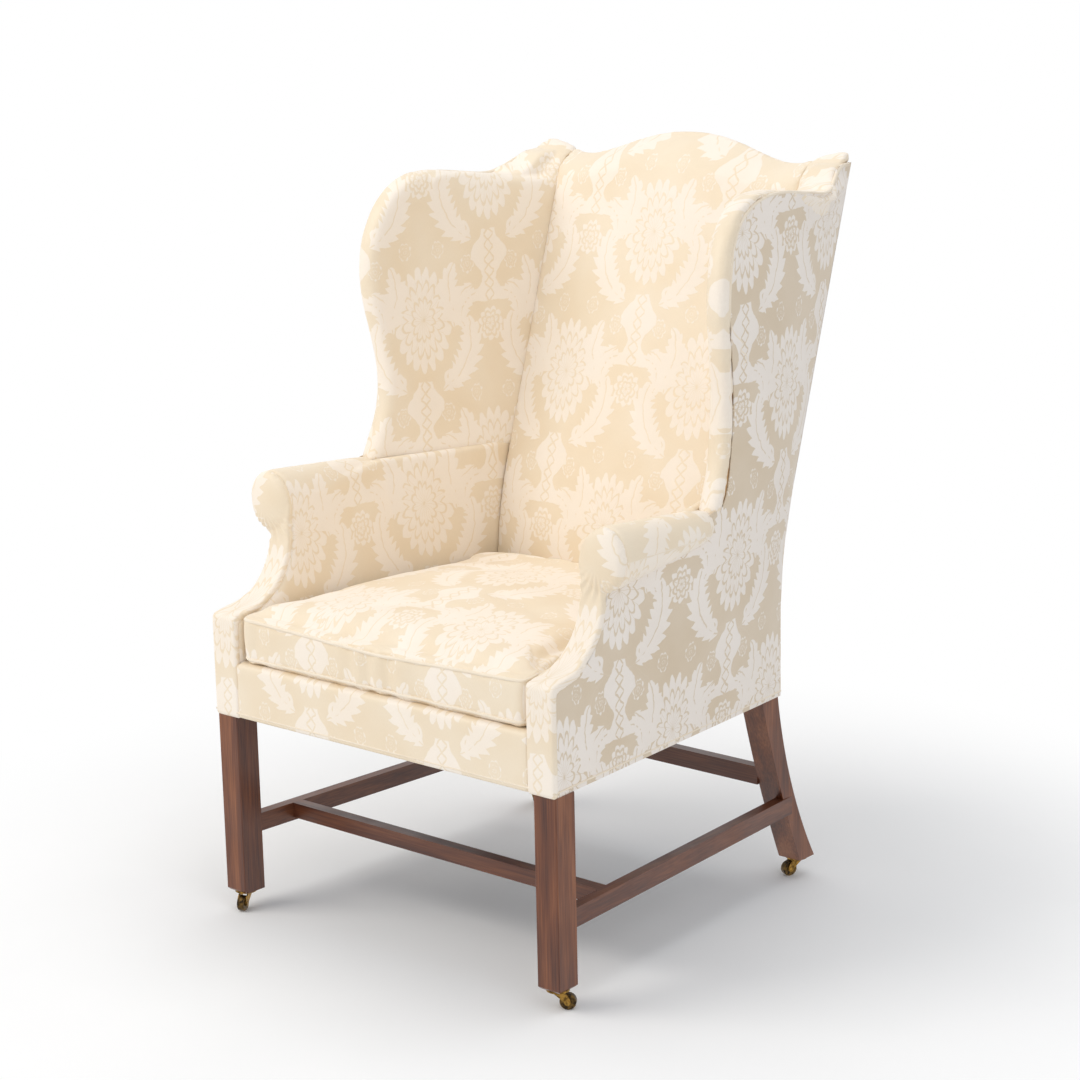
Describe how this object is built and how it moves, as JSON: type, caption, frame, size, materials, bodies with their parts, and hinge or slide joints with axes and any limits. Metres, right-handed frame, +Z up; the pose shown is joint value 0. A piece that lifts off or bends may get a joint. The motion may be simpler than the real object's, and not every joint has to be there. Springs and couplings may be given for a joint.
{
  "type": "wingback armchair",
  "caption": "High-backed upholstered armchair with out-scrolled arms, shaped wings, a loose seat cushion and square legs joined by stretchers on small castors.",
  "frame": {"origin": "on the floor, under the centre of the chair's outline", "axes": "+Z up, the chair faces -Y, +X towards the sitter's left, which is on the right for someone who looks at its front"},
  "size_m": [0.7346, 0.7767, 1.1522],
  "materials": {
    "mahogany": "polished mahogany, square section",
    "beech": "raw sawn beech frame",
    "webbing": "jute webbing",
    "bottom_cloth": "black canvas",
    "deck_cloth": "plain cotton platform cloth",
    "damask": "ivory silk damask, tone on tone",
    "castor_wheel": "dark tarnished brass wheel",
    "brass": "aged brass castor"
  },
  "bodies": {
    "root": {"arm_facing_left": "damask", "arm_facing_right": "damask", "arm_rail_left": "beech", "arm_rail_right": "beech", "arm_stump_left": "beech", "arm_stump_right": "beech", "back_post_left": "beech", "back_post_right": "beech", "back_webbing": "webbing", "bottom_cloth": "bottom_cloth", "castor_plate_front_left": "brass", "castor_plate_front_right": "brass", "castor_plate_rear_left": "brass", "castor_plate_rear_right": "brass", "corner_blocks": "beech", "crest_rail": "beech", "front_border": "damask", "front_leg_left": "mahogany", "front_leg_right": "mahogany", "front_rail": "beech", "inside_arm_left": "damask", "inside_arm_right": "damask", "inside_back": "damask", "inside_wing_left": "damask", "inside_wing_right": "damask", "lower_back_rail": "beech", "medial_stretcher": "mahogany", "outside_back": "damask", "outside_side_left": "damask", "outside_side_right": "damask", "rear_leg_left": "mahogany", "rear_leg_right": "mahogany", "rear_rail": "beech", "rear_stretcher": "mahogany", "seat_deck": "deck_cloth", "seat_webbing_crosswise": "webbing", "seat_webbing_lengthwise": "webbing", "side_rail_left": "beech", "side_rail_right": "beech", "side_stretcher_left": "mahogany", "side_stretcher_right": "mahogany", "wing_top_rail_left": "beech", "wing_top_rail_right": "beech", "wing_upright_left": "beech", "wing_upright_right": "beech"},
    "cushion": {"seat_cushion": "damask"},
    "castor_swivel_front_left": {"castor_horn_front_left": "brass", "castor_axle_front_left": "brass"},
    "castor_wheel_front_left": {"castor_wheel_front_left": "castor_wheel"},
    "castor_swivel_front_right": {"castor_horn_front_right": "brass", "castor_axle_front_right": "brass"},
    "castor_wheel_front_right": {"castor_wheel_front_right": "castor_wheel"},
    "castor_swivel_rear_left": {"castor_horn_rear_left": "brass", "castor_axle_rear_left": "brass"},
    "castor_wheel_rear_left": {"castor_wheel_rear_left": "castor_wheel"},
    "castor_swivel_rear_right": {"castor_horn_rear_right": "brass", "castor_axle_rear_right": "brass"},
    "castor_wheel_rear_right": {"castor_wheel_rear_right": "castor_wheel"}
  },
  "joints": [
    {"name": "cushion_lift", "type": "slide", "parent": "root", "child": "cushion", "axis": [0, 0, 1], "range_m": [0, 0.3]},
    {"name": "swivel_front_left", "type": "hinge", "parent": "root", "child": "castor_swivel_front_left", "pos_m": [-0.3175, -0.363, 0.028], "axis": [0, 0, 1], "continuous": true},
    {"name": "roll_front_left", "type": "hinge", "parent": "castor_swivel_front_left", "child": "castor_wheel_front_left", "pos_m": [-0.31226, -0.37598, 0.012], "axis": [0.9272, 0.3746, 0], "continuous": true},
    {"name": "swivel_front_right", "type": "hinge", "parent": "root", "child": "castor_swivel_front_right", "pos_m": [0.3175, -0.363, 0.028], "axis": [0, 0, 1], "continuous": true},
    {"name": "roll_front_right", "type": "hinge", "parent": "castor_swivel_front_right", "child": "castor_wheel_front_right", "pos_m": [0.32937, -0.35558, 0.012], "axis": [-0.5299, 0.848, 0], "continuous": true},
    {"name": "swivel_rear_left", "type": "hinge", "parent": "root", "child": "castor_swivel_rear_left", "pos_m": [-0.274, 0.275, 0.028], "axis": [0, 0, 1], "continuous": true},
    {"name": "roll_rear_left", "type": "hinge", "parent": "castor_swivel_rear_left", "child": "castor_wheel_rear_left", "pos_m": [-0.27992, 0.28769, 0.012], "axis": [-0.9063, -0.4226, 0], "continuous": true},
    {"name": "swivel_rear_right", "type": "hinge", "parent": "root", "child": "castor_swivel_rear_right", "pos_m": [0.274, 0.275, 0.028], "axis": [0, 0, 1], "continuous": true},
    {"name": "roll_rear_right", "type": "hinge", "parent": "castor_swivel_rear_right", "child": "castor_wheel_rear_right", "pos_m": [0.26808, 0.26231, 0.012], "axis": [0.9063, -0.4226, 0], "continuous": true}
  ]
}
